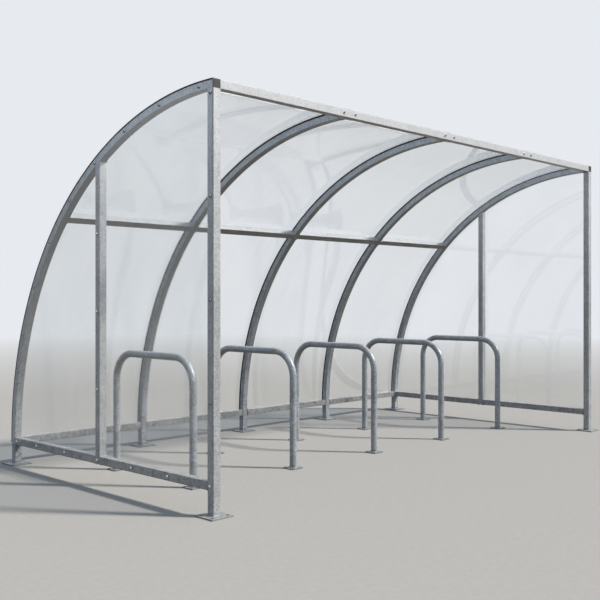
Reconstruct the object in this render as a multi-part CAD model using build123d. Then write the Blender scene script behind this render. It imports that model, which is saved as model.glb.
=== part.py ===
from build123d import *
import math
import os

# Bicycle shelter in hot-dip galvanised box section with clear sheets, sizes in millimetres.
# X runs along the shelter, the open front faces -Y and Z is up.
# The origin is on the ground, in the middle of the footprint.

# Frame
bay_count = 4
bay_pitch = 1082.0           # rib to rib, centre to centre
tube_size = 50.0             # side of the square hollow section
frame_height = 2356.0        # ground to the top of the header
leg_run = 181.0              # straight lower end of a rib, from the ground to the bend
front_run = 50.0             # straight end of a rib, over the front post
base_rail_height = 142.0     # ground to the underside of the base rails
mid_rail_angle = 45.4        # place of the mid rails on the bend, up from level
gable_post_y = 7.0           # middle of the gable posts
weld_gap = 0.3               # between faces that meet on a curve

# Base plates
plate_size = 150.0
plate_thickness = 8.0
plate_hole = 13.0
plate_hole_inset = 22.0      # hole centre to the plate's edge

# Joint of a middle rib with the header
end_plate_width = 150.0
end_plate_thickness = 6.0

# Front caps of the end ribs
cap_thickness = 4.0

# Clear sheets
sheet_thickness = 3.0
sheet_gap = 6.0              # between two roof sheets, over a middle rib
sheet_edge = 8.0             # from a sheet's edge to the edge of the frame
sheet_bottom = 152.0         # ground to the lower edge of the roof sheets

# Seal strips between the ribs and the roof sheets
seal_thickness = 2.5
seal_lip = 4.0               # reach past each side of a middle rib

# Bicycle hoops
hoop_count = 5
hoop_pitch = 878.0
hoop_row_x = -32.0           # middle of the row of hoops
hoop_row_y = -24.0
hoop_tube = 48.3
hoop_width = 834.0           # leg to leg, centre to centre
hoop_height = 829.0          # ground to the top of the tube
hoop_bend = 175.0            # centre line
hoop_sides = 16              # flats round the tube
hoop_bend_runs = 6           # short straight runs in a bend
hoop_plate_size = 100.0
hoop_plate_thickness = 8.0

# Worked out from the sizes above
half_tube = tube_size / 2
length = bay_count * bay_pitch + tube_size
rib_radius = frame_height - leg_run
depth = rib_radius + front_run
front_y = -depth / 2
back_y = depth / 2
bend_y = back_y - rib_radius
rib_xs = [(i - bay_count / 2) * bay_pitch for i in range(bay_count + 1)]
bay_length = bay_pitch - tube_size
gable_xs = {"left": rib_xs[0], "right": rib_xs[-1]}
rib_inner_radius = rib_radius - tube_size
post_y = front_y + half_tube
leg_y = back_y - half_tube
rail_end_y = back_y - tube_size - weld_gap
front_cap_y = front_y + cap_thickness
rib_butt_y = front_y + tube_size + end_plate_thickness

os.makedirs("parts", exist_ok=True)


def save(name, part):
    part.label = name
    export_step(part, os.path.join("parts", name + ".step"))


def block(x_size, y_size, z_size, x, y, z):
    """A box with its middle at x, y and its underside at z."""
    return Pos(x, y, z + z_size / 2) * Box(x_size, y_size, z_size)


def curved_band(offset, thickness, front, bottom, width, x):
    """A band that follows the ribs: level at the front, bent a quarter turn, then upright."""
    inner = rib_radius + offset
    outer = inner + thickness
    with BuildPart() as band:
        with BuildSketch(Plane.YZ):
            with BuildLine():
                Line((front, leg_run + outer), (bend_y, leg_run + outer))
                CenterArc((bend_y, leg_run), outer, 90, -90)
                Line((bend_y + outer, leg_run), (bend_y + outer, bottom))
                Line((bend_y + outer, bottom), (bend_y + inner, bottom))
                Line((bend_y + inner, bottom), (bend_y + inner, leg_run))
                CenterArc((bend_y, leg_run), inner, 0, 90)
                Line((bend_y, leg_run + inner), (front, leg_run + inner))
                Line((front, leg_run + inner), (front, leg_run + outer))
            make_face()
        extrude(amount=width / 2, both=True)
    return Pos(x, 0, 0) * band.part


def foot(x, y):
    """A square plate on the ground with an anchor hole near each corner."""
    plate = block(plate_size, plate_size, plate_thickness, x, y, 0)
    spread = plate_size - 2 * plate_hole_inset
    holes = GridLocations(spread, spread, 2, 2) * Cylinder(plate_hole / 2, 3 * plate_thickness)
    return plate - [Pos(x, y, 0) * hole for hole in holes]


def front_post(x):
    top = leg_run + rib_inner_radius
    height = top - plate_thickness
    shaft = block(tube_size, tube_size, height, x, post_y, plate_thickness)
    return shaft + foot(x, post_y)


def end_rib(x):
    bar = curved_band(-tube_size, tube_size, front_cap_y, plate_thickness, tube_size, x)
    return bar + foot(x, leg_y)


def middle_rib(x):
    bar = curved_band(-tube_size, tube_size, front_y, plate_thickness, tube_size, x)
    cleared = rib_butt_y - front_y
    bar -= block(2 * tube_size, cleared, 2 * tube_size, x, front_y + cleared / 2,
                 frame_height - 2 * tube_size)
    end_y = rib_butt_y - end_plate_thickness / 2
    end_plate = block(end_plate_width, end_plate_thickness, tube_size, x, end_y,
                      frame_height - tube_size)
    return bar + foot(x, leg_y) + end_plate


def rib_cap(x):
    return block(tube_size, cap_thickness, tube_size, x, front_y + cap_thickness / 2,
                 frame_height - tube_size)


def header_beam():
    return block(length - 2 * tube_size, tube_size, tube_size, 0, post_y,
                 frame_height - tube_size)


def mid_rail(x):
    """A box section turned with the bend, between the side faces of two ribs."""
    reach = rib_radius - half_tube
    angle = math.radians(mid_rail_angle)
    y = bend_y + reach * math.cos(angle)
    z = leg_run + reach * math.sin(angle)
    return Pos(x, y, z) * Rot(mid_rail_angle, 0, 0) * Box(bay_length, tube_size, tube_size)


def back_rail(x):
    return block(bay_length, tube_size, tube_size, x, leg_y, base_rail_height)


def side_rail(x, y_from, y_to):
    return block(tube_size, y_to - y_from, tube_size, x, (y_from + y_to) / 2, base_rail_height)


def gable_post(x):
    """An upright from the side rail to the inner face of the rib, cut to its curve."""
    shaft = block(tube_size, tube_size, frame_height, x, gable_post_y, base_rail_height)
    under_rib = Pos(x, bend_y, leg_run) * Rot(0, 90, 0) * Cylinder(
        rib_inner_radius - weld_gap, 2 * tube_size)
    return shaft & under_rib


def roof_sheet(index):
    """A clear sheet over one bay, bent over the ribs from the header to the back rail."""
    left = rib_xs[index] + sheet_gap / 2
    right = rib_xs[index + 1] - sheet_gap / 2
    if index == 0:
        left = rib_xs[0] - half_tube + sheet_edge
    if index == bay_count - 1:
        right = rib_xs[-1] + half_tube - sheet_edge
    return curved_band(weld_gap + seal_thickness, sheet_thickness, front_y + sheet_edge,
                       sheet_bottom, right - left, (left + right) / 2)


def seal_strip(x, width):
    """A rubber strip on the outer face of a rib, which the edges of the sheets lie on."""
    return curved_band(weld_gap, seal_thickness, front_y + sheet_edge, sheet_bottom, width, x)


def gable_pane(x, side):
    """A clear sheet on the outside of a gable, with its upper edge cut to the rib's curve."""
    outline = block(sheet_thickness, depth - 2 * sheet_edge, frame_height, 0, 0,
                    base_rail_height + sheet_edge)
    under_curve = Pos(0, bend_y, leg_run) * Rot(0, 90, 0) * Cylinder(
        rib_radius - sheet_edge, 2 * tube_size)
    pane_x = x + side * (half_tube + sheet_thickness / 2)
    return Pos(pane_x, 0, 0) * (outline & under_curve)


def hoop_line(front, back):
    """Points of a hoop's middle line: up the front leg, over, and down the back leg."""
    bend_middle_z = hoop_height - hoop_tube / 2 - hoop_bend
    points = [(front, hoop_plate_thickness)]
    for bend_middle_y, start in ((front + hoop_bend, 180), (back - hoop_bend, 90)):
        for run in range(hoop_bend_runs + 1):
            turn = math.radians(start - 90 * run / hoop_bend_runs)
            points.append((bend_middle_y + hoop_bend * math.cos(turn),
                           bend_middle_z + hoop_bend * math.sin(turn)))
    points.append((back, hoop_plate_thickness))
    return points


def bike_hoop(x):
    """A bent tube with two legs, each welded to its own plate."""
    front = hoop_row_y - hoop_width / 2
    back = hoop_row_y + hoop_width / 2
    foot_of_leg = Plane((0, front, hoop_plate_thickness), x_dir=(1, 0, 0), z_dir=(0, 0, 1))
    with BuildPart() as bent:
        with BuildLine(Plane.YZ) as path:
            Polyline(*hoop_line(front, back))
        with BuildSketch(foot_of_leg):
            RegularPolygon(hoop_tube / 2, hoop_sides)
        sweep(path=path.wires()[0], transition=Transition.RIGHT)
    hoop = Pos(x, 0, 0) * bent.part
    for y in (front, back):
        hoop += block(hoop_plate_size, hoop_plate_size, hoop_plate_thickness, x, y, 0)
    return hoop


for name, x in gable_xs.items():
    side = math.copysign(1, x)
    save("front_post_" + name, front_post(x))
    save("gable_post_" + name, gable_post(x))
    save("rib_cap_" + name, rib_cap(x))
    save("side_rail_front_" + name, side_rail(x, front_y + tube_size, gable_post_y - half_tube))
    save("side_rail_back_" + name, side_rail(x, gable_post_y + half_tube, rail_end_y))
    save("gable_pane_" + name, gable_pane(x, side))

for index, x in enumerate(rib_xs):
    is_end = index in (0, bay_count)
    seal_width = tube_size if is_end else tube_size + 2 * seal_lip
    save("rib_%d" % (index + 1), end_rib(x) if is_end else middle_rib(x))
    save("seal_strip_%d" % (index + 1), seal_strip(x, seal_width))

save("header_beam", header_beam())

for index in range(bay_count):
    middle = (rib_xs[index] + rib_xs[index + 1]) / 2
    save("mid_rail_%d" % (index + 1), mid_rail(middle))
    save("back_rail_%d" % (index + 1), back_rail(middle))
    save("roof_sheet_%d" % (index + 1), roof_sheet(index))

for index in range(hoop_count):
    x = hoop_row_x + (index - (hoop_count - 1) / 2) * hoop_pitch
    save("bike_hoop_%d" % (index + 1), bike_hoop(x))
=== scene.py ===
# %% [markdown]
# # A cycle shelter in galvanised steel and clear sheet
# The shelter is a welded frame of square tube with a roof of clear sheet that is
# bent from the front beam down to the back rail. A CAD model of it is already
# packed: it fixes every size and place. This lesson dresses that model for a
# picture. Each piece of the frame gets a finer mesh in the same place, with
# rounded tube corners, welds, screws and materials made from nodes.

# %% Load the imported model
import math

import bmesh
import bpy
from mathutils import Matrix, Vector, noise


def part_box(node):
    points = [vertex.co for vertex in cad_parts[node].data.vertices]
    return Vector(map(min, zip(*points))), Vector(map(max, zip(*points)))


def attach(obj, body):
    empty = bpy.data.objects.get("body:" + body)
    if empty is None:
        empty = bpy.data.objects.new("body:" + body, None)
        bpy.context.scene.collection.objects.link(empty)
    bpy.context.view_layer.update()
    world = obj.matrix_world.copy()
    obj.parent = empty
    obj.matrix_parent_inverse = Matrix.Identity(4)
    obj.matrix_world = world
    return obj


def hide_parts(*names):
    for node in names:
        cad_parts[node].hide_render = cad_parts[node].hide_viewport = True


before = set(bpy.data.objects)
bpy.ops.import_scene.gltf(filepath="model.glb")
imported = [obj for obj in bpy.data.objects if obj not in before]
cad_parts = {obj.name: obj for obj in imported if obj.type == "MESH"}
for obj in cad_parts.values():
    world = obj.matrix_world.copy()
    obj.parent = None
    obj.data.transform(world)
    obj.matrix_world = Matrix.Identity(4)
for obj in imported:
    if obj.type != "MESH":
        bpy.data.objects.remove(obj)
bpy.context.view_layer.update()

# %% [markdown]
# ## Sizes
# A dressed piece must lie where its CAD node lies, so the sizes are read from the
# nodes where a box can give them. A bend can't be read from a box: its radius
# follows from the height of the frame and the short straight leg under the bend.

# %% Read the main sizes from the frame
RIBS, BAYS, HOOPS = range(1, 6), range(1, 5), range(1, 6)
header_low, header_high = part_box("header_beam")

TUBE = header_high.y - header_low.y
HALF = TUBE / 2
FRONT_Y = header_low.y
BACK_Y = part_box("back_rail_1")[1].y
FRAME_TOP = header_high.z
LEG_RUN = 0.181
RADIUS = FRAME_TOP - LEG_RUN
BEND_Y = BACK_Y - RADIUS
RIB_XS = [sum(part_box("rib_%d" % number), Vector()).x / 2 for number in RIBS]
GABLE_XS = {"left": RIB_XS[0], "right": RIB_XS[-1]}
LEG_Y = BACK_Y - HALF
POST_Y = FRONT_Y + HALF

print("tube %.1f mm, bend radius %.1f mm" % (TUBE * 1000, RADIUS * 1000))
print("ribs at", [round(x, 3) for x in RIB_XS])

# %% [markdown]
# ## Shader maths
# A material is a graph of nodes. Written out node by node, a formula of five terms
# takes forty lines. The class below wraps one socket and gives it Python's
# operators, so that `0.4 * cloud + 0.2` adds the Math nodes by itself. Every other
# node comes from its one method `add`.

# %% A socket that takes part in sums
# The Mix node has four pairs of sockets called A and B, so its colours go by their places.
COLOUR_A, COLOUR_B, COLOUR_RESULT = 6, 7, 2


class Signal:
    """One socket in a node tree. Its operators add Math nodes."""

    def __init__(self, tree, socket=None):
        self.tree = tree
        self.socket = socket

    def add(self, kind, settings=None, inputs=None, output=0):
        """A node of that type: first its settings, then the values or links of its sockets."""
        node = self.tree.nodes.new(kind)
        for name, value in (settings or {}).items():
            setattr(node, name, value)
        for name, value in (inputs or {}).items():
            if isinstance(value, Signal):
                self.tree.links.new(value.socket, node.inputs[name])
            else:
                node.inputs[name].default_value = value
        return Signal(self.tree, node.outputs[output] if node.outputs else None)

    def maths(self, operation, *values):
        """A Math node on the values, in their order."""
        return self.add("ShaderNodeMath", {"operation": operation}, dict(enumerate(values)))

    def __add__(self, other):
        return self.maths("ADD", self, other)

    def __sub__(self, other):
        return self.maths("SUBTRACT", self, other)

    def __rsub__(self, other):
        return self.maths("SUBTRACT", other, self)

    def __mul__(self, other):
        return self.maths("MULTIPLY", self, other)

    __radd__ = __add__
    __rmul__ = __mul__

    def between(self, low, high):
        """0 at low and below, 1 at high and above."""
        return self.add("ShaderNodeMapRange", {"clamp": True},
                        {"Value": self, "From Min": low, "From Max": high})

    def spread(self):
        """Noise keeps mostly between 0.3 and 0.7, and this spreads it from 0 to 1."""
        return self.between(0.3, 0.7)

    def blend(self, low, high):
        """The colour low where this is 0 and high where it is 1."""
        return self.add("ShaderNodeMix", {"data_type": "RGBA"},
                        {"Factor": self, COLOUR_A: low, COLOUR_B: high}, output=COLOUR_RESULT)


def grey(value, blue=0.0):
    """A grey with its blue raised and its red lowered by the same small share."""
    return (value * (1 - blue), value, value * (1 + blue), 1.0)


def new_finish(name):
    """An empty material, and a signal to build its nodes from."""
    material = bpy.data.materials.new(name)
    material.use_nodes = True
    material.node_tree.nodes.clear()
    return material, Signal(material.node_tree)


print("a slightly blue mid grey is", grey(0.5, 0.04))

# %% [markdown]
# ## Galvanised steel
# Hot-dip zinc isn't one grey. It freezes as flat crystals, each of which throws the
# light its own way, over patches where the bath cooled faster and faint runs where
# the tube was lifted out. Voronoi cells make the crystals, with their edges bent by
# noise. Noise of three sizes makes the patches and the grain, and noise that is
# stretched upright makes the runs. Painted light makes the zinc lighter with height,
# standing in for more sky mirrored high up, and lighter where a face looks up; the base
# plates stay dull. Painted shade gives the faces that look down two duller and warmer
# tones. Weathered zinc has gone from mirror to mostly matt, so it is made as a rough
# surface with a little metal in it, and not as a clean metal.

# %% Zinc finish
# Painted shade: two darker, warmer tones for the faces that look down.
UNDERSIDE_SHADE_DARK = (0.20, 0.192, 0.176, 1.0)
UNDERSIDE_SHADE_LIGHT = (0.37, 0.357, 0.335, 1.0)
EDGE_DRIFT = (0.012, 0.012, 0.012)


def zinc(name, dark, light, metal=0.12, crystal_scale=110.0, roughness=0.58):
    """Mottled zinc between two tones, with painted light higher up and on faces that look up, and
    painted shade below.
    """
    finish, wires = new_finish(name)
    place = wires.add("ShaderNodeTexCoord", output="Object")
    height = wires.add("ShaderNodeSeparateXYZ", {}, {"Vector": place}, output="Z")
    facing = wires.add("ShaderNodeTexCoord", output="Normal")
    upward = wires.add("ShaderNodeSeparateXYZ", {}, {"Vector": facing}, output="Z")
    drift = wires.add("ShaderNodeTexNoise", {}, {"Vector": place, "Scale": 38.0, "Detail": 2.0},
                      output="Color")
    bent = wires.add("ShaderNodeVectorMath", {"operation": "MULTIPLY_ADD"},
                     {0: drift, 1: EDGE_DRIFT, 2: place})
    crystals = wires.add("ShaderNodeTexVoronoi", {}, {"Vector": bent, "Scale": crystal_scale},
                         output="Color")
    crystal = wires.add("ShaderNodeSeparateColor", {}, {"Color": crystals}, output="Red")
    fine = wires.add("ShaderNodeTexNoise", {}, {"Vector": place, "Scale": 220.0, "Detail": 3.0})
    cloud = wires.add("ShaderNodeTexNoise", {},
                      {"Vector": place, "Scale": 5.0, "Detail": 4.0, "Roughness": 0.6})
    patch = wires.add("ShaderNodeTexNoise", {},
                      {"Vector": place, "Scale": 17.0, "Detail": 3.0, "Distortion": 0.6})
    stretched = wires.add("ShaderNodeMapping", {}, {"Vector": place, "Scale": (45.0, 45.0, 2.5)})
    runs = wires.add("ShaderNodeTexNoise", {}, {"Vector": stretched, "Scale": 1.0, "Detail": 2.0})
    mottling = (0.24 * crystal + 0.12 * cloud.spread() + 0.12 * patch.spread()
                + 0.08 * runs.spread() + 0.10 * fine.spread())
    # Painted light: lighter with height and on faces that look up.
    painted_height_light = 0.34 * height.between(1.0, 2.2) + 0.10 * upward.between(0.3, 0.9)
    above_plates = 0.24 * height.between(0.008, 0.03)
    tone = mottling + painted_height_light + above_plates - 0.21
    shade = tone.between(0.15, 0.85)
    # Painted shade on faces that look down: they take the two darker, warmer tones.
    outside_underside_shade = upward.between(-0.45, 0.0)
    colour = outside_underside_shade.blend(shade.blend(UNDERSIDE_SHADE_DARK, UNDERSIDE_SHADE_LIGHT), shade.blend(dark, light))
    dents = wires.add("ShaderNodeBump", {}, {"Strength": 0.12, "Distance": 0.0006,
                                             "Height": 0.5 * patch + 0.3 * crystal + 0.2 * fine})
    shader = wires.add("ShaderNodeBsdfPrincipled", {}, {
        "Base Color": colour, "Metallic": metal, "Roughness": roughness - 0.22 * tone,
        "Normal": dents})
    wires.add("ShaderNodeOutputMaterial", {}, {"Surface": shader})
    return finish


steel = zinc("Galvanised steel", grey(0.31, 0.01), grey(0.83, -0.01))
# A copy of the zinc with a wider range and a bluer light end: painted sky light on the high sides
# of the ribs and painted shade lower down.
painted_sky_rib_steel = zinc("Galvanised steel with painted sky light", grey(0.22), grey(0.96, 0.05))
# A paler copy of the zinc: painted light for the sunlit header and mid rails.
painted_lit_steel = zinc("Galvanised steel with painted light", grey(0.42, -0.012), grey(0.79, -0.012))
# A copy of the zinc with a wider range: painted shade on the fronts of the low rails, painted
# light on their tops.
painted_shade_low_steel = zinc("Galvanised steel with painted shade", grey(0.17, -0.015), grey(0.86, -0.015))
tube_steel = zinc("Smooth galvanised tube", grey(0.24, 0.04), grey(0.88, 0.06), metal=0.15,
                  roughness=0.46)
bright_zinc = zinc("Bright zinc plate", grey(0.70), grey(0.96), metal=0.85, crystal_scale=200.0,
                   roughness=0.48)
# Painted shade: the bottom of each screw socket is near black, for the shade in the hollow.
socket_painted_shade = zinc("Socket painted shade", grey(0.012), grey(0.03), metal=0.0, crystal_scale=300.0)
bolt_dark = zinc("Dark bolt head", grey(0.05), grey(0.13), metal=0.0, crystal_scale=300.0)
anchor_dull = zinc("Dull anchor", grey(0.19, 0.03), grey(0.42, 0.03), crystal_scale=300.0)
print("zinc finish has", len(steel.node_tree.nodes), "nodes")

# %% [markdown]
# ## Clear sheet
# The sheets are 3 mm clear plastic. A Principled shader with Transmission bends the
# view a little and mirrors the sky at a shallow angle, as the real sheet does. Blender
# would let such a sheet stop the lamps, so shadow rays and diffuse rays meet a pale
# Transparent shader instead. The colour is a little uneven, because rain leaves faint
# runs on the outside. The cut edges of the sheets are frosted and catch light, so they
# are a finish of their own.

# %% Clear sheet finish
CLEAN_SHEET = (0.975, 0.985, 0.985, 1.0)
FILMED_SHEET = (0.93, 0.94, 0.945, 1.0)
BOUNCES_PASS = (0.94, 0.95, 0.955, 1.0)
LAMPS_PASS = (0.84, 0.85, 0.86, 1.0)


def clear_sheet():
    """Clear plastic to look through, and tinted air for the lamps and for soft bounces."""
    finish, wires = new_finish("Clear sheet")
    place = wires.add("ShaderNodeTexCoord", output="Object")
    stretched = wires.add("ShaderNodeMapping", {}, {"Vector": place, "Scale": (22.0, 3.0, 1.6)})
    runs = wires.add("ShaderNodeTexNoise", {}, {"Vector": stretched, "Scale": 1.0, "Detail": 3.0})
    film = wires.add("ShaderNodeTexNoise", {}, {"Vector": place, "Scale": 2.2, "Detail": 4.0})
    tone = 0.4 * runs.spread() + 0.6 * film.spread()
    colour = tone.blend(CLEAN_SHEET, FILMED_SHEET)
    sway = wires.add("ShaderNodeTexNoise", {}, {"Vector": place, "Scale": 1.4, "Detail": 1.0})
    waves = wires.add("ShaderNodeBump", {},
                      {"Strength": 0.05, "Distance": 0.02, "Height": sway})
    plastic = wires.add("ShaderNodeBsdfPrincipled", {}, {
        "Base Color": colour, "Roughness": 0.03, "IOR": 1.58, "Transmission Weight": 1.0,
        "Normal": waves})
    clean_air = wires.add("ShaderNodeBsdfTransparent", {}, {"Color": BOUNCES_PASS})
    dimmed_air = wires.add("ShaderNodeBsdfTransparent", {}, {"Color": LAMPS_PASS})
    is_diffuse = wires.add("ShaderNodeLightPath", output="Is Diffuse Ray")
    is_shadow = wires.add("ShaderNodeLightPath", output="Is Shadow Ray")
    for_bounces = wires.add("ShaderNodeMixShader", {}, {0: is_diffuse, 1: plastic, 2: clean_air})
    for_lamps = wires.add("ShaderNodeMixShader", {}, {0: is_shadow, 1: for_bounces, 2: dimmed_air})
    wires.add("ShaderNodeOutputMaterial", {}, {"Surface": for_lamps})
    return finish


sheet_clear = clear_sheet()
print("clear sheet finish has", len(sheet_clear.node_tree.nodes), "nodes")

# %% Cut edge, rubber and plastic finishes
GRAIN_SCALE = 900.0


def plain_finish(name, dark, light, scale, roughness, bump, distance):
    """A matt material whose colour wavers between two tones, with a fine grain."""
    finish, wires = new_finish(name)
    place = wires.add("ShaderNodeTexCoord", output="Object")
    waver = wires.add("ShaderNodeTexNoise", {}, {"Vector": place, "Scale": scale, "Detail": 4.0})
    grain = wires.add("ShaderNodeTexNoise", {},
                      {"Vector": place, "Scale": GRAIN_SCALE, "Detail": 1.0})
    relief = wires.add("ShaderNodeBump", {},
                       {"Strength": bump, "Distance": distance, "Height": grain})
    shader = wires.add("ShaderNodeBsdfPrincipled", {}, {
        "Base Color": waver.spread().blend(dark, light),
        "Roughness": roughness + 0.15 * grain, "Normal": relief})
    wires.add("ShaderNodeOutputMaterial", {}, {"Surface": shader})
    return finish


sheet_edge = plain_finish("Cut sheet edge", (0.62, 0.67, 0.69, 1), (0.80, 0.84, 0.85, 1),
                          30.0, 0.30, 0.05, 0.0002)
rubber = plain_finish("Seal rubber", grey(0.014), grey(0.035), 40.0, 0.62, 0.15, 0.0002)
cap_plastic = plain_finish("Cap plastic", (0.040, 0.038, 0.032, 1), (0.075, 0.070, 0.058, 1),
                           60.0, 0.42, 0.20, 0.0002)
print("finishes so far:", [finish.name for finish in bpy.data.materials])

# %% [markdown]
# ## Tube by tube
# A square tube is a flat face with rounded corners, drawn along a path: straight runs
# by Extrude, bends by Spin. Both leave clean rows of faces, and the end of one run is
# the start of the next. A hollow inside isn't needed where both ends are closed by
# welds or plates.

# %% Helpers that draw a face along a path
CORNER = 0.0025
BEND_STEPS = 72


def join(bm, part):
    """Adds a finished part to a piece's mesh and frees it."""
    carrier = bpy.data.meshes.new("part")
    part.to_mesh(carrier)
    part.free()
    bm.from_mesh(carrier)
    bpy.data.meshes.remove(carrier)


def section(part, width, depth, place, corner=CORNER):
    """A flat face with rounded corners in a new part, laid where the matrix place puts it."""
    corners = bmesh.ops.create_grid(part, x_segments=1, y_segments=1, size=0.5)["verts"]
    bmesh.ops.scale(part, vec=(width, depth, 1), verts=corners)
    bmesh.ops.bevel(part, geom=corners, offset=corner, offset_type="OFFSET", affect="VERTICES",
                    segments=3, profile=0.5, material=-1)
    bmesh.ops.transform(part, matrix=place, verts=part.verts)
    return part.faces[:][0]


def inner(face):
    """The face itself in a list if walls already meet it, because it would stay inside."""
    return [face] if any(len(edge.link_faces) > 1 for edge in face.edges) else []


def push(bm, face, shift):
    """Draws a face straight along shift and gives the face at the end of the run."""
    passed = inner(face)
    made = bmesh.ops.extrude_face_region(bm, geom=[face])["geom"]
    end = [each for each in made if isinstance(each, bmesh.types.BMFace)][0]
    bmesh.ops.translate(bm, vec=shift, verts=end.verts[:])
    bmesh.ops.delete(bm, geom=passed, context="FACES_ONLY")
    return end


def turn(bm, face, centre, steps):
    """Swings a face a quarter turn, over the top towards the back, about a line along X."""
    passed = inner(face)
    made = bmesh.ops.spin(bm, geom=[face], cent=centre, axis=(1, 0, 0), dvec=(0, 0, 0),
                          angle=-math.pi / 2, steps=steps, use_merge=False,
                          use_duplicate=False)["geom_last"]
    bmesh.ops.delete(bm, geom=passed, context="FACES_ONLY")
    return [each for each in made if isinstance(each, bmesh.types.BMFace)][0]


print("a bend is drawn in", BEND_STEPS, "steps")

# %% Straight tubes, and bands over the bend
def axes(origin, along, across):
    """A matrix at origin with its Z along and its X across."""
    along, across = Vector(along).normalized(), Vector(across).normalized()
    matrix = Matrix((across, along.cross(across), along)).transposed().to_4x4()
    matrix.translation = Vector(origin)
    return matrix


def bar(bm, start, end, across, size=TUBE):
    """A straight tube from start to end, with one pair of sides facing across."""
    part = bmesh.new()
    run = Vector(end) - Vector(start)
    push(part, section(part, size, size, axes(start, run, across)), run)
    join(bm, part)


def bent_band(bm, x, width, low, high, front, bottom, corner):
    """A band over the bend, from front back and down to bottom, low to high off the ribs."""
    part = bmesh.new()
    at_front = axes((x, front, LEG_RUN + RADIUS + (low + high) / 2), (0, 1, 0), (1, 0, 0))
    face = section(part, width, high - low, at_front, corner)
    if front < BEND_Y:
        face = push(part, face, (0, BEND_Y - front, 0))
    face = turn(part, face, (x, BEND_Y, LEG_RUN), BEND_STEPS)
    lowest = min(vert.co.z for vert in face.verts)
    push(part, face, (0, 0, bottom - lowest))
    join(bm, part)


print("tube corners are rounded by %.1f mm" % (CORNER * 1000))

# %% [markdown]
# Each mesh becomes a piece of the model in the same few steps, so they are one helper.
# Normals are recalculated because Spin can leave a shape inside out. Faces are shaded
# smooth up to an angle, and the Weighted Normal modifier keeps the flats of a tube flat
# beside its rounded corners.

# %% A finished mesh becomes a piece
SMOOTH_TO = 40


def piece(bm, name, finishes, stands_for=(), sharp=SMOOTH_TO):
    """A piece with that mesh, riding on the frame, in place of the nodes it stands for."""
    bmesh.ops.recalc_face_normals(bm, faces=bm.faces)
    mesh = bpy.data.meshes.new(name)
    bm.to_mesh(mesh)
    bm.free()
    for finish in finishes:
        mesh.materials.append(finish)
    mesh.shade_smooth()
    mesh.set_sharp_from_angle(angle=math.radians(sharp))
    thing = bpy.data.objects.new(name, mesh)
    bpy.context.scene.collection.objects.link(thing)
    even = thing.modifiers.new("Even shading", "WEIGHTED_NORMAL")
    even.keep_sharp = True
    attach(thing, "root")
    if stands_for:
        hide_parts(*stands_for)
    return thing


print("pieces are shaded smooth up to", SMOOTH_TO, "degrees")

# %% [markdown]
# ## Welds and base plates
# Every joint of the frame has a fillet weld, about 5 mm each way, that the zinc has
# run over. It is a skirt round the end of the tube: a larger rounded face drawn up in
# three small steps to the size of the tube, which gives a bulging bead. Cutting its
# long edges and nudging the points by noise takes away the machined look. That noise
# starts from the clock unless it gets a seed, so it gets one and every run is the same.
# On a side where two tubes are flush there is no fillet.

# %% Weld helper
WELD = 0.005
WELD_ROOT = -0.001
WELD_STEPS = (30, 60, 90)
LONG_EDGE = 0.02
LONG_EDGE_CUTS = 9
SUNK = 0.0004
SAME_WAY = 0.9
noise.seed_set(7)


def roughen(verts, amount=0.0007, pitch=0.007):
    """Moves points by smooth noise, so that a bead looks run by hand."""
    for vert in verts:
        vert.co += amount * noise.noise_vector(vert.co / pitch)


def weld(bm, place, width=TUBE, depth=TUBE, flush=(), lift=None):
    """A fillet round a tube's end. place stands on the joint with its Z along the tube."""
    part = bmesh.new()
    outward = place.to_3x3()

    def reach(side):
        """Whether the fillet goes round that side, which a flush one has not."""
        facing = outward @ Vector(side)
        return not any(facing.dot(Vector(each)) > SAME_WAY for each in flush)

    def span(size, minus, plus, out):
        """Size and middle of the fillet across, out beyond the sides that it goes round."""
        low = -size / 2 - out if minus else -size / 2 + SUNK
        high = size / 2 + out if plus else size / 2 - SUNK
        return high - low, (high + low) / 2

    sides_x = reach((-1, 0, 0)), reach((1, 0, 0))
    sides_y = reach((0, -1, 0)), reach((0, 1, 0))
    size_x, mid_x = span(width, *sides_x, WELD)
    size_y, mid_y = span(depth, *sides_y, WELD)
    height = WELD_ROOT
    face = section(part, size_x, size_y, Matrix.Translation((mid_x, mid_y, height)),
                   corner=CORNER + WELD / 2)
    for step in WELD_STEPS:
        out = WELD * math.cos(math.radians(step))
        top = WELD * math.sin(math.radians(step))
        next_x, middle_x = span(width, *sides_x, out)
        next_y, middle_y = span(depth, *sides_y, out)
        face = push(part, face, (0, 0, top - height))
        bmesh.ops.scale(part, vec=(next_x / size_x, next_y / size_y, 1), verts=face.verts[:],
                        space=Matrix.Translation((-mid_x, -mid_y, 0)))
        bmesh.ops.translate(part, vec=(middle_x - mid_x, middle_y - mid_y, 0),
                            verts=face.verts[:])
        size_x, mid_x, size_y, mid_y, height = next_x, middle_x, next_y, middle_y, top
    long_edges = [edge for edge in part.edges if edge.calc_length() > LONG_EDGE]
    bmesh.ops.subdivide_edges(part, edges=long_edges, cuts=LONG_EDGE_CUTS)
    bmesh.ops.transform(part, matrix=place, verts=part.verts)
    roughen(part.verts)
    if lift:
        for vert in part.verts:
            vert.co.z += lift(vert.co)
    join(bm, part)


print("welds reach %.0f mm each way" % (WELD * 1000))

# %% Plate and foot helpers
FOOT = 0.150
FOOT_THICKNESS = 0.008


def plate(bm, centre, size, edge=0.0012):
    """A flat plate with its edges eased, as a guillotine and the zinc leave them."""
    part = bmesh.new()
    bmesh.ops.create_cube(part, size=1)
    bmesh.ops.scale(part, vec=size, verts=part.verts)
    bmesh.ops.translate(part, vec=centre, verts=part.verts)
    bmesh.ops.bevel(part, geom=part.edges[:], offset=edge, offset_type="OFFSET",
                    affect="EDGES", segments=2, profile=0.5, material=-1)
    join(bm, part)


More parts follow.
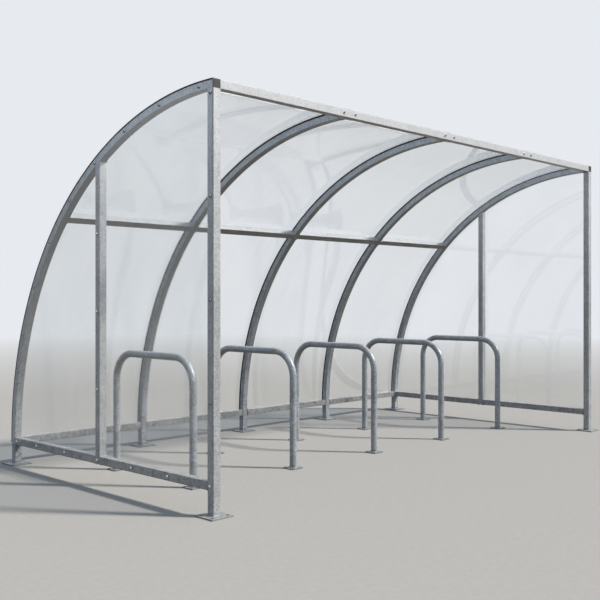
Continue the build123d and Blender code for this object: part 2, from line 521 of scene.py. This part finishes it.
def foot(bm, x, y):
    """A base plate on the ground and the weld round the tube that stands on it."""
    plate(bm, (x, y, FOOT_THICKNESS / 2), (FOOT, FOOT, FOOT_THICKNESS))
    weld(bm, axes((x, y, FOOT_THICKNESS), (0, 0, 1), (1, 0, 0)))


print("base plates are %.0f mm square" % (FOOT * 1000))

# %% [markdown]
# ## Front posts
# Two posts stand on base plates and carry the front ends of the outer ribs. The rib
# lies on the post with their sides flush, so there is no fillet between the two.

# %% Front posts
for side, x in GABLE_XS.items():
    post_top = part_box("front_post_" + side)[1].z
    bm = bmesh.new()
    bar(bm, (x, POST_Y, FOOT_THICKNESS), (x, POST_Y, post_top), (1, 0, 0))
    foot(bm, x, POST_Y)
    piece(bm, "front_post_%s_steel" % side, [steel], ["front_post_" + side])
print("front posts %.3f m high" % post_top)

# %% [markdown]
# ## Ribs
# A rib is one tube: a short level end at the front, a quarter bend, and a leg down to
# its base plate. The two outer ribs run to the front and are closed by a cap. The three
# middle ribs stop behind the header, on an end plate that two bolts hold to it.

# %% Ribs with their feet and end plates
CAP_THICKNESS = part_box("rib_cap_left")[1].y - FRONT_Y
END_PLATE = Vector((0.150, 0.006, TUBE))
BUTT_Y = FRONT_Y + TUBE + END_PLATE.y
MIDDLE_RIBS = (2, 3, 4)

for number, x in zip(RIBS, RIB_XS):
    outer = number not in MIDDLE_RIBS
    bm = bmesh.new()
    bent_band(bm, x, TUBE, -TUBE, 0.0, FRONT_Y + CAP_THICKNESS if outer else BUTT_Y,
              FOOT_THICKNESS, CORNER)
    foot(bm, x, LEG_Y)
    if not outer:
        plate(bm, (x, BUTT_Y - END_PLATE.y / 2, FRAME_TOP - HALF), END_PLATE)
        weld(bm, axes((x, BUTT_Y, FRAME_TOP - HALF), (0, 1, 0), (1, 0, 0)),
             flush=[(0, 0, 1), (0, 0, -1)])
    made = piece(bm, "rib_%d_steel" % number, [painted_sky_rib_steel],
                 ["rib_%d" % number])
print("a rib has", len(made.data.polygons), "faces")

# %% [markdown]
# ## Rails and beam
# The header, the mid rails and the back rails run along the shelter, and the side rails
# run along the gables. All are straight tubes between two others. A rail's box in the
# CAD gives its ends, and the sides that the sheets lie on stay flush, with no weld. The
# low rails take a copy of the zinc with a wider range of tone: painted shade on their
# fronts and painted light on their tops. The header and the mid rails take a paler copy,
# painted light. The mid rails are turned so that their outer side follows the bend.

# %% Header, back rails and side rails
TOP, DOWN = (0, 0, 1), (0, 0, -1)
FORWARD, BACK = (0, -1, 0), (0, 1, 0)


def rail(name, axis, flush, finish=painted_shade_low_steel):
    """A straight tube in its node's box, along world axis 0 or 1, welded at both ends."""
    low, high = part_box(name)
    start, end = (low + high) / 2, (low + high) / 2
    start[axis], end[axis] = low[axis], high[axis]
    run = end - start
    bm = bmesh.new()
    bar(bm, start, end, TOP)
    weld(bm, axes(start, run, TOP), flush=flush)
    weld(bm, axes(end, -run, TOP), flush=flush)
    piece(bm, name + "_steel", [finish], [name])


rail("header_beam", 0, [TOP, FORWARD], painted_lit_steel)
for number in BAYS:
    rail("back_rail_%d" % number, 0, [BACK])
for side, outward in (("left", (-1, 0, 0)), ("right", (1, 0, 0))):
    rail("side_rail_front_" + side, 1, [outward])
    rail("side_rail_back_" + side, 1, [outward])

# %% Mid rails, turned to the bend
mid_low, mid_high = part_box("mid_rail_1")
mid_rail_y, mid_rail_z = (mid_low.y + mid_high.y) / 2, (mid_low.z + mid_high.z) / 2
off_bend = Vector((0, mid_rail_y - BEND_Y, mid_rail_z - LEG_RUN)).normalized()
for number in BAYS:
    low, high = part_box("mid_rail_%d" % number)
    start, end = Vector((low.x, mid_rail_y, mid_rail_z)), Vector((high.x, mid_rail_y, mid_rail_z))
    bm = bmesh.new()
    bar(bm, start, end, off_bend)
    weld(bm, axes(start, end - start, off_bend), flush=[off_bend])
    weld(bm, axes(end, start - end, off_bend), flush=[off_bend])
    piece(bm, "mid_rail_%d_steel" % number, [painted_lit_steel],
          ["mid_rail_%d" % number])
print("mid rails at %.1f degrees round the bend" % (
    math.degrees(math.atan2(off_bend.z, off_bend.y))))

# %% [markdown]
# ## Gable posts
# An upright stands between the two side rails of each gable and reaches the underside
# of the rib. Its top is cut to the bend: the end face of a straight tube is moved onto
# the circle, point by point, and the weld there is lifted by the same amount.

# %% Gable posts cut to the curve
GABLE_POST_Y = sum(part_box("gable_post_left"), Vector()).y / 2
INNER = RADIUS - TUBE


def under_rib(point, radius=INNER):
    """Height of the ribs' inner side above a point."""
    return LEG_RUN + math.sqrt(radius ** 2 - (point.y - BEND_Y) ** 2)


for side, x in GABLE_XS.items():
    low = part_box("gable_post_" + side)[0]
    outward = (math.copysign(1, x), 0, 0)
    bm = bmesh.new()
    bottom = section(bm, TUBE, TUBE, axes((x, GABLE_POST_Y, low.z), TOP, (1, 0, 0)))
    for vert in push(bm, bottom, TOP).verts:
        vert.co.z = under_rib(vert.co)
    joint = Vector((x, GABLE_POST_Y, low.z))
    joint.z = under_rib(joint)
    weld(bm, axes(joint, DOWN, (1, 0, 0)), flush=[outward],
         lift=lambda point: under_rib(point) - joint.z)
    piece(bm, "gable_post_%s_steel" % side, [steel], ["gable_post_" + side])
print("gable posts reach %.3f m" % joint.z)

# %% [markdown]
# ## Caps and seal strips
# A black plastic cap closes the front end of each outer rib. On the outside of every rib
# lies a black rubber strip that the edges of the sheets are pressed on, with a thin lip
# folded down each side of the tube. It shows as a dark line along the rib, and in the gap
# between two sheets. The cap is a rounded section drawn forward, with its front drawn in
# a little. The strip and its lips are sections drawn along the same path as the steel.

# %% Caps
CAP_CORNER = 0.005
CROWN_SHARE = 0.3
CROWN_SIZE = 0.93

for side, x in GABLE_XS.items():
    bm = bmesh.new()
    at_front = axes((x, FRONT_Y + CAP_THICKNESS, FRAME_TOP - HALF), FORWARD, (1, 0, 0))
    rim = section(bm, TUBE, TUBE, at_front, CAP_CORNER)
    rim = push(bm, rim, (0, (CROWN_SHARE - 1) * CAP_THICKNESS, 0))
    crown = push(bm, rim, (0, -CROWN_SHARE * CAP_THICKNESS, 0))
    bmesh.ops.scale(bm, vec=(CROWN_SIZE, 1, CROWN_SIZE), verts=crown.verts[:],
                    space=Matrix.Translation(-crown.calc_center_median()))
    piece(bm, "rib_cap_%s_plastic" % side, [cap_plastic], ["rib_cap_" + side])
print("caps %.0f mm thick" % (CAP_THICKNESS * 1000))

# %% Seal strips
SHEET_EDGE = 0.008
SHEET_FRONT = FRONT_Y + SHEET_EDGE
SHEET_BOTTOM = 0.152
SEAL_TOP = 0.0028
SEAL_CORNER = 0.0008
SEAL_LIP = 0.003
OUTER_FOLD, MIDDLE_FOLD = 0.005, 0.008

for number, x in zip(RIBS, RIB_XS):
    low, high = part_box("seal_strip_%d" % number)
    bm = bmesh.new()
    bent_band(bm, x, high.x - low.x, -SUNK, SEAL_TOP - SUNK, SHEET_FRONT, SHEET_BOTTOM,
              SEAL_CORNER)
    lip_front, fold = SHEET_FRONT, OUTER_FOLD
    if number in MIDDLE_RIBS:
        lip_front, fold = BUTT_Y + WELD, MIDDLE_FOLD
    for lip_x in (x - HALF - SEAL_LIP / 2, x + HALF + SEAL_LIP / 2):
        bent_band(bm, lip_x, SEAL_LIP, -fold, SEAL_TOP - SUNK, lip_front, SHEET_BOTTOM,
                  SEAL_CORNER)
    piece(bm, "seal_strip_%d_rubber" % number, [rubber],
          ["seal_strip_%d" % number])
print("seal lips reach %.0f or %.0f mm down the ribs" % (OUTER_FOLD * 1000, MIDDLE_FOLD * 1000))

# %% [markdown]
# ## Roof sheets
# One sheet covers each bay, from the header over the bend to the back rail. It is a real
# sheet with two faces 3 mm apart, because light is bent on the way in and on the way out.
# The faces of its rim take the frosted finish.

# %% Roof sheets
SHEET = 0.003
RIM_EDGE = 1.01 * SHEET
SHEET_SMOOTH_TO = 25


def rim_faces(bm):
    """The faces of a sheet's rim: those that have an edge as short as the sheet is thick."""
    return [face for face in bm.faces
            if min(edge.calc_length() for edge in face.edges) < RIM_EDGE]


for number in BAYS:
    low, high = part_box("roof_sheet_%d" % number)
    bm = bmesh.new()
    middle = RADIUS + SEAL_TOP + SHEET / 2
    points = bmesh.ops.create_grid(bm, x_segments=1, y_segments=1, size=0.5)["verts"]
    bmesh.ops.scale(bm, vec=(high.x - low.x, SHEET, 1), verts=points)
    at_front = axes(((low.x + high.x) / 2, SHEET_FRONT, LEG_RUN + middle), BACK, (1, 0, 0))
    bmesh.ops.transform(bm, matrix=at_front, verts=points)
    face = push(bm, points[0].link_faces[0], (0, BEND_Y - SHEET_FRONT, 0))
    face = turn(bm, face, (0, BEND_Y, LEG_RUN), BEND_STEPS)
    push(bm, face, (0, 0, SHEET_BOTTOM - LEG_RUN))
    for face in rim_faces(bm):
        face.material_index = 1
    piece(bm, "roof_sheet_%d_clear" % number, [sheet_clear, sheet_edge],
          ["roof_sheet_%d" % number], sharp=SHEET_SMOOTH_TO)
print("roof sheets %.0f mm wide" % (1000 * (high.x - low.x)))

# %% [markdown]
# ## Gable panes
# A flat sheet closes each gable on the outside, with its top cut to the bend. Its outline
# starts as a single point: Extrude draws the straight edges, Spin draws the arc, the
# closed loop is filled, and one more Extrude gives it its thickness.

# %% Gable panes
PANE_GAP = 0.0003
PANE_RADIUS = RADIUS - SHEET_EDGE


def stroke(bm, vert, shift):
    """Draws an edge from a point and gives its far end."""
    made = bmesh.ops.extrude_vert_indiv(bm, verts=[vert])["verts"][0]
    made.co += Vector(shift)
    return made


for side, x in GABLE_XS.items():
    low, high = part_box("gable_pane_" + side)
    outward = math.copysign(1, x)
    inner_x = x + outward * (HALF + PANE_GAP)
    bm = bmesh.new()
    start = bmesh.ops.create_vert(bm, co=(inner_x, low.y, low.z))["vert"][0]
    corner = stroke(bm, start, (0, 0, LEG_RUN + PANE_RADIUS - low.z))
    bend = stroke(bm, corner, (0, BEND_Y - low.y, 0))
    arc = bmesh.ops.spin(bm, geom=[bend], cent=(inner_x, BEND_Y, LEG_RUN), axis=(1, 0, 0),
                         dvec=(0, 0, 0), angle=-math.pi / 2, steps=BEND_STEPS, use_merge=False,
                         use_duplicate=False)["geom_last"]
    arc_end = [each for each in arc if isinstance(each, bmesh.types.BMVert)][0]
    last = stroke(bm, arc_end, (0, 0, low.z - LEG_RUN))
    bm.edges.new((last, start))
    outline = bmesh.ops.contextual_create(bm, geom=bm.edges[:])["faces"][0]
    push(bm, outline, (outward * SHEET, 0, 0))
    for face in rim_faces(bm):
        if len(face.verts) == 4:
            face.material_index = 1
    piece(bm, "gable_pane_%s_clear" % side, [sheet_clear, sheet_edge],
          ["gable_pane_" + side], sharp=SHEET_SMOOTH_TO)
print("gable panes %.3f m high" % (high.z - low.z))

# %% [markdown]
# ## Hoops
# Five hoops of round tube stand in a row under the roof. Each is one circle drawn up,
# bent over, drawn across, bent down and drawn to the ground, with a small base plate
# and a round weld at each leg.

# %% Helper for turned shapes
def stack(bm, rings, sides, finish=0, place=Matrix(), rough=False):
    """A disc drawn upwards through rings of (radius, height), as on a lathe."""
    part = bmesh.new()
    radius, height = rings[0]
    bmesh.ops.create_circle(part, cap_ends=True, segments=sides, radius=radius)
    bmesh.ops.translate(part, vec=(0, 0, height), verts=part.verts)
    face = part.faces[:][0]
    for next_radius, next_height in rings[1:]:
        face = push(part, face, (0, 0, next_height - height))
        grow = next_radius / radius
        bmesh.ops.scale(part, vec=(grow, grow, 1), verts=face.verts[:])
        radius, height = next_radius, next_height
    for each in part.faces:
        each.material_index = finish
    bmesh.ops.transform(part, matrix=place, verts=part.verts)
    if rough:
        roughen(part.verts)
    join(bm, part)


print("a turned shape is a disc drawn up through its rings")

# %% Hoops
HOOP_TUBE = 0.0483
HOOP_SIDES = 32
HOOP_BEND = 0.175
HOOP_BEND_STEPS = 18
HOOP_PLATE = 0.100
HOOP_BEAD_SIDES = 48
HOOP_BEAD = [(HOOP_TUBE / 2 + WELD, WELD_ROOT)]
HOOP_BEAD += [(HOOP_TUBE / 2 + WELD * math.cos(math.radians(step)),
               WELD * math.sin(math.radians(step))) for step in WELD_STEPS]
HOOP_XS = []

hoop_low, hoop_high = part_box("bike_hoop_1")
leg_ys = hoop_low.y + HOOP_PLATE / 2, hoop_high.y - HOOP_PLATE / 2
hoop_bend_z = hoop_high.z - HOOP_TUBE / 2 - HOOP_BEND
for number in HOOPS:
    low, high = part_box("bike_hoop_%d" % number)
    x = (low.x + high.x) / 2
    HOOP_XS.append(x)
    bm = bmesh.new()
    points = bmesh.ops.create_circle(bm, cap_ends=True, segments=HOOP_SIDES,
                                     radius=HOOP_TUBE / 2)["verts"]
    bmesh.ops.translate(bm, vec=(x, leg_ys[0], FOOT_THICKNESS), verts=points)
    face = push(bm, points[0].link_faces[0], (0, 0, hoop_bend_z - FOOT_THICKNESS))
    face = turn(bm, face, (x, leg_ys[0] + HOOP_BEND, hoop_bend_z), HOOP_BEND_STEPS)
    face = push(bm, face, (0, leg_ys[1] - leg_ys[0] - 2 * HOOP_BEND, 0))
    face = turn(bm, face, (x, leg_ys[1] - HOOP_BEND, hoop_bend_z), HOOP_BEND_STEPS)
    push(bm, face, (0, 0, FOOT_THICKNESS - hoop_bend_z))
    for y in leg_ys:
        plate(bm, (x, y, FOOT_THICKNESS / 2), (HOOP_PLATE, HOOP_PLATE, FOOT_THICKNESS))
        stack(bm, HOOP_BEAD, HOOP_BEAD_SIDES, place=Matrix.Translation((x, y, FOOT_THICKNESS)),
              rough=True)
    piece(bm, "bike_hoop_%d_steel" % number, [tube_steel],
          ["bike_hoop_%d" % number])
print("hoops at", [round(x, 3) for x in HOOP_XS])

# %% [markdown]
# ## Screws, bolts and anchors
# Screws with a dark socket, each on a bright washer and a rubber ring, hold the panes
# to the outer ribs and the front posts. On the rails and the gable posts the heads are
# plain domes. Larger hex-headed screws sit on top of the ribs, where one washer clamps
# two sheets. Dark bolts with nuts hold the middle ribs to the header, and low dull
# heads hold the plates to the ground. Each kind is modelled once, as a disc drawn
# up and scaled, and stamped wherever the frame has it, each turned a little further
# than the last, because no two are driven to the same angle.

# %% Helpers for fastener patterns
FASTENER_FINISHES = [bright_zinc, socket_painted_shade, rubber, bolt_dark, anchor_dull]
ZINC_PART, SOCKET_SHADE_PART, RUBBER_PART, DARK_PART, DULL_PART = range(5)
HEX, SOCKET, STUD, ROUND, WASHER = 6, 12, 16, 24, 28
DOME_STEPS = (0, 16, 30, 42)
MM = 0.001


def pattern(name, *parts):
    """A fastener's mesh from parts of (finish, number of sides, rings in millimetres)."""
    bm = bmesh.new()
    for finish, sides, rings in parts:
        stack(bm, [(radius * MM, height * MM) for radius, height in rings], sides, finish)
    mesh = bpy.data.meshes.new(name)
    bm.to_mesh(mesh)
    bm.free()
    return mesh


def dome(seat, radius, height, socket, finish=ZINC_PART):
    """A round head with a hollow socket, whose bottom is painted near black as shade."""
    rise = [(radius * math.cos(math.radians(step)), seat + height * math.sin(math.radians(step)))
            for step in DOME_STEPS]
    top = seat + height
    hollow = [(socket + 0.4, top), (socket, top - 0.3), (socket, seat + 0.4)]
    bottom = [(socket - 0.05, seat + 0.3), (socket - 0.05, top - 0.8)]
    return (finish, ROUND, rise + hollow), (SOCKET_SHADE_PART, SOCKET, bottom)


print("fasteners share", len(FASTENER_FINISHES), "finishes")

# %% Fastener patterns
roof_screw = pattern(
    "Roof screw",
    (RUBBER_PART, ROUND, [(12.5, -0.2), (13.2, 0.6), (12.8, 1.8)]),
    (ZINC_PART, ROUND, [(13.5, 1.8), (13.5, 2.6), (10.0, 3.9), (7.0, 4.3)]),
    (ZINC_PART, HEX, [(5.8, 4.2), (5.8, 9.0), (5.0, 10.0)]))
rail_screw = pattern(
    "Rail screw",
    (RUBBER_PART, ROUND, [(11.2, -0.2), (11.6, 0.6), (10.8, 1.3)]),
    (ZINC_PART, ROUND, [(10.4, 1.2), (10.4, 1.9), (9.0, 2.7)]),
    (ZINC_PART, ROUND, [(8.0, 2.6), (7.6, 4.6), (6.2, 6.2), (3.6, 7.2), (1.0, 7.5)]))
pane_screw = pattern(
    "Pane screw",
    (RUBBER_PART, ROUND, [(9.8, -0.2), (10.2, 0.6), (9.6, 1.3)]),
    (ZINC_PART, ROUND, [(9.0, 1.2), (9.0, 1.8), (8.4, 2.2)]),
    *dome(2.1, 8.0, 3.4, 5.4))
header_bolt = pattern(
    "Header bolt",
    (ZINC_PART, WASHER, [(11.5, -0.3), (11.5, 1.6), (10.9, 2.0)]),
    *dome(1.9, 7.0, 4.0, 3.8, DARK_PART))
header_nut = pattern(
    "Header nut",
    (ZINC_PART, WASHER, [(11.0, -0.3), (11.0, 1.6), (10.4, 2.0)]),
    (ZINC_PART, HEX, [(7.5, 1.9), (7.5, 8.0), (6.6, 8.6)]),
    (ZINC_PART, STUD, [(4.0, 8.4), (4.0, 13.0), (3.2, 13.8)]))
anchor = pattern("Ground anchor", *dome(-0.2, 9.0, 3.6, 5.0, DULL_PART))
hoop_anchor = pattern("Hoop anchor", *dome(-0.2, 7.5, 3.2, 4.0, DULL_PART))
PATTERNS = (roof_screw, rail_screw, pane_screw, header_bolt, header_nut, anchor, hoop_anchor)
print("faces in each pattern:", [len(mesh.polygons) for mesh in PATTERNS])

# %% Stamp for the patterns
NEXT_TURN = 2.4
HEAD_SMOOTH_TO = 30


def stamp(bm, template, point, out, index):
    """A copy of a fastener at point, with its axis along out."""
    copy = template.copy()
    facing = Vector(out).to_track_quat("Z", "Y").to_matrix().to_4x4()
    turned = Matrix.Rotation(NEXT_TURN * index, 4, "Z")
    copy.transform(Matrix.Translation(point) @ facing @ turned)
    bm.from_mesh(copy)
    bpy.data.meshes.remove(copy)


def fasteners(name, template, spots):
    """One piece with a fastener at each (point, outward direction)."""
    bm = bmesh.new()
    for index, (point, out) in enumerate(spots):
        stamp(bm, template, point, out, index)
    piece(bm, name, FASTENER_FINISHES, sharp=HEAD_SMOOTH_TO)


print("each fastener is turned %.0f degrees past the last" % math.degrees(NEXT_TURN))

# %% Roof screws along the ribs
ROOF_SCREW_FIRST = 81.5
ROOF_SCREW_STEP = 12.0
ROOF_SCREW_COUNT = 7


def on_bend(x, degrees, radius):
    """A point on the bend, so many degrees up from level, and the way out from it."""
    out = Vector((0, math.cos(math.radians(degrees)), math.sin(math.radians(degrees))))
    return Vector((x, BEND_Y, LEG_RUN)) + radius * out, out


for number, x in zip(RIBS, RIB_XS):
    spots = [on_bend(x, ROOF_SCREW_FIRST - ROOF_SCREW_STEP * index, RADIUS + SEAL_TOP + SHEET)
             for index in range(ROOF_SCREW_COUNT)]
    fasteners("roof_screws_%d" % number, roof_screw, spots)
print(ROOF_SCREW_COUNT * len(RIB_XS), "roof screws")

# %% Pane screws round the gables
RIB_SCREW_FIRST = 88.1
RIB_SCREW_STEP = 9.675
RIB_SCREW_COUNT = 9
RIB_SCREW_DEPTH = 0.029
POST_SCREW_TOP = 2.280
POST_SCREW_STEP = 0.556
POST_SCREW_COUNT = 4
MID_SCREW_LOW = 0.609
MID_SCREW_STEP = 0.485
MID_SCREW_COUNT = 3
SIDE_SCREW_YS = (-0.712, -0.357, GABLE_POST_Y, 0.396, 0.754, 1.031)
RAIL_Z = sum(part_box("back_rail_1"), Vector()).z / 2

for side, x in GABLE_XS.items():
    out = Vector((math.copysign(1, x), 0, 0))
    face_x = x + out.x * (HALF + PANE_GAP + SHEET)
    points = [on_bend(face_x, RIB_SCREW_FIRST - RIB_SCREW_STEP * index,
                      RADIUS - RIB_SCREW_DEPTH)[0] for index in range(RIB_SCREW_COUNT)]
    points += [Vector((face_x, POST_Y, POST_SCREW_TOP - POST_SCREW_STEP * index))
               for index in range(POST_SCREW_COUNT)]
    fasteners("pane_screws_" + side, pane_screw, [(point, out) for point in points])
    domes = [Vector((face_x, GABLE_POST_Y, MID_SCREW_LOW + MID_SCREW_STEP * index))
             for index in range(MID_SCREW_COUNT)]
    domes += [Vector((face_x, y, RAIL_Z)) for y in (POST_Y,) + SIDE_SCREW_YS]
    fasteners("rail_screws_" + side, rail_screw, [(point, out) for point in domes])
print(len(points) + len(domes), "screws in each gable")

# %% Header bolts
BOLT_OFFSET = 0.054

for number in MIDDLE_RIBS:
    xs = RIB_XS[number - 1] - BOLT_OFFSET, RIB_XS[number - 1] + BOLT_OFFSET
    fasteners("header_bolts_%d" % number, header_bolt,
              [(Vector((x, FRONT_Y, FRAME_TOP - HALF)), FORWARD) for x in xs])
    fasteners("header_nuts_%d" % number, header_nut,
              [(Vector((x, BUTT_Y, FRAME_TOP - HALF)), BACK) for x in xs])
print("header bolts %.0f mm each side of a middle rib" % (1000 * BOLT_OFFSET))

# %% Anchors in the base plates
FOOT_HOLE_SPREAD = 0.053
HOOP_HOLE_SPREAD = 0.038


def four_round(x, y, spread):
    """The spots of the four anchors round a leg."""
    return [(Vector((x + i * spread, y + j * spread, FOOT_THICKNESS)), TOP)
            for i in (-1, 1) for j in (-1, 1)]


for side, x in GABLE_XS.items():
    fasteners("anchors_post_" + side, anchor, four_round(x, POST_Y, FOOT_HOLE_SPREAD))
for number, x in zip(RIBS, RIB_XS):
    fasteners("anchors_rib_%d" % number, anchor, four_round(x, LEG_Y, FOOT_HOLE_SPREAD))
for number, x in zip(HOOPS, HOOP_XS):
    spots = four_round(x, leg_ys[0], HOOP_HOLE_SPREAD) + four_round(x, leg_ys[1], HOOP_HOLE_SPREAD)
    fasteners("anchors_hoop_%d" % number, hoop_anchor, spots)
for mesh in PATTERNS:
    bpy.data.meshes.remove(mesh)
print("anchors in", len(GABLE_XS) + len(RIB_XS), "feet and", 2 * len(HOOP_XS), "hoop plates")

# %% [markdown]
# ## Floor and background
# The shelter stands on a pale floor that fades into a pale background, so that no
# horizon line crosses the sheets. The fade is by distance from the middle of the shelter.
# Rays from the camera, and rays that have gone through the sheets, meet that pale stage.
# Rays that the zinc or the sheets mirror meet what things in the open mirror: light from
# above over a dark horizon, and a floor that is bright under the roof and duller farther
# off. So the flat gable is brighter near its top, and the roof mirrors its own ribs. Rays
# that gather light meet bluish light from above and a dark, warm floor, so that the sides
# of the tubes that face away from the lamp, and their undersides, stay in shade.

# %% Colours by kind of ray
BACKGROUND = (0.80, 0.825, 0.86, 1.0)
MIRRORED_SKY = (0.80, 0.88, 0.98, 1.0)
MIRRORED_HORIZON = (0.07, 0.075, 0.085, 1.0)
SKY_LIGHT = (0.28, 0.345, 0.43, 1.0)
FLOOR_LIGHT = (0.16, 0.135, 0.105, 1.0)
MIRRORED_NEAR = (0.64, 0.615, 0.575, 1.0)
MIRRORED_FAR = (0.26, 0.25, 0.235, 1.0)


def by_ray(wires, seen, mirrored, gathered):
    """A colour for rays from the camera or through a sheet, for mirrored rays and for the rest."""
    camera, glossy, through = [wires.add("ShaderNodeLightPath", output="Is %s Ray" % kind)
                               for kind in ("Camera", "Glossy", "Transmission")]
    direct = camera.maths("MAXIMUM", camera, through)
    return direct.blend(glossy.blend(gathered, mirrored), seen)


print("the background is seen as", BACKGROUND[:3])

# %% Floor
FLOOR_RADIUS = 60.0
FLOOR_SIDES = 64
FLOOR_FADE = (5.0, 22.0)
ROOF_FADE = (2.5, 5.0)
FLOOR_TONES = (0.51, 0.478, 0.438, 1.0), (0.54, 0.508, 0.468, 1.0)


def floor_finish():
    """A matt floor that turns into the background farther off."""
    finish, wires = new_finish("Pale floor")
    place = wires.add("ShaderNodeTexCoord", output="Object")
    away = wires.add("ShaderNodeVectorMath", {"operation": "LENGTH"}, {0: place}, output="Value")
    grit = wires.add("ShaderNodeTexNoise", {}, {"Vector": place, "Scale": 30.0, "Detail": 5.0})
    pale = grit.spread().blend(*FLOOR_TONES)
    mirrored = away.between(*ROOF_FADE).blend(MIRRORED_NEAR, MIRRORED_FAR)
    matt = wires.add("ShaderNodeBsdfDiffuse", {},
                     {"Color": by_ray(wires, pale, mirrored, FLOOR_LIGHT)})
    far = wires.add("ShaderNodeEmission", {},
                    {"Color": by_ray(wires, BACKGROUND, MIRRORED_HORIZON, SKY_LIGHT)})
    shader = wires.add("ShaderNodeMixShader", {}, {0: away.between(*FLOOR_FADE), 1: matt, 2: far})
    wires.add("ShaderNodeOutputMaterial", {}, {"Surface": shader})
    return finish


bm = bmesh.new()
bmesh.ops.create_circle(bm, cap_ends=True, segments=FLOOR_SIDES, radius=FLOOR_RADIUS)
floor_mesh = bpy.data.meshes.new("floor")
bm.to_mesh(floor_mesh)
bm.free()
floor_mesh.materials.append(floor_finish())
floor = bpy.data.objects.new("floor", floor_mesh)
bpy.context.scene.collection.objects.link(floor)
print("floor %.0f m across" % (2 * FLOOR_RADIUS))

# %% World
HORIZON_RISE = (0.13, 0.21)

world = bpy.context.scene.world or bpy.data.worlds.new("World")
bpy.context.scene.world = world
world.use_nodes = True
world.node_tree.nodes.clear()
wires = Signal(world.node_tree)
direction = wires.add("ShaderNodeTexCoord", output="Object")
rise = wires.add("ShaderNodeSeparateXYZ", {}, {"Vector": direction}, output="Z")
mirrored_sky = rise.between(*HORIZON_RISE).blend(MIRRORED_HORIZON, MIRRORED_SKY)
sky = wires.add("ShaderNodeBackground", {},
                {"Color": by_ray(wires, BACKGROUND, mirrored_sky, SKY_LIGHT)})
wires.add("ShaderNodeOutputWorld", {}, {"Surface": sky})
print("mirrored horizon %.0f degrees high" % math.degrees(math.asin(HORIZON_RISE[1])))

# %% [markdown]
# ## Light and camera
# One broad lamp stands for a hazy sun, high in front and to the right, so that the front
# faces are pale and the gable side is in shade. The world fills the rest. The camera
# stands low beyond the left gable and looks level along the diagonal.

# %% Lamp and camera
SUN_FROM = Vector((0.45, -0.60, 0.66))
SUN_STRENGTH = 3.4
SUN_WIDTH = 6
CAMERA_AT = (-5.207, -4.713, 1.1715)
CAMERA_TILT, CAMERA_HEADING = 90, -45.62

sun_data = bpy.data.lights.new("Hazy sun", "SUN")
sun_data.energy = SUN_STRENGTH
sun_data.angle = math.radians(SUN_WIDTH)
sun_data.color = (1.0, 0.975, 0.93)
sun = bpy.data.objects.new("Hazy sun", sun_data)
sun.rotation_euler = SUN_FROM.to_track_quat("Z", "Y").to_euler()
bpy.context.scene.collection.objects.link(sun)

camera_data = bpy.data.cameras.new("Camera")
camera_data.sensor_width = 36.0
camera_data.lens = 52.47
camera_data.shift_y = -0.00125
camera = bpy.data.objects.new("Camera", camera_data)
camera.location = CAMERA_AT
camera.rotation_euler = (math.radians(CAMERA_TILT), 0, math.radians(CAMERA_HEADING))
bpy.context.scene.collection.objects.link(camera)
bpy.context.scene.camera = camera
bpy.context.scene.view_settings.view_transform = "Standard"
print("sun %.0f degrees high, camera %.2f m from the middle" % (
    math.degrees(math.asin(SUN_FROM.normalized().z)), camera.location.length))
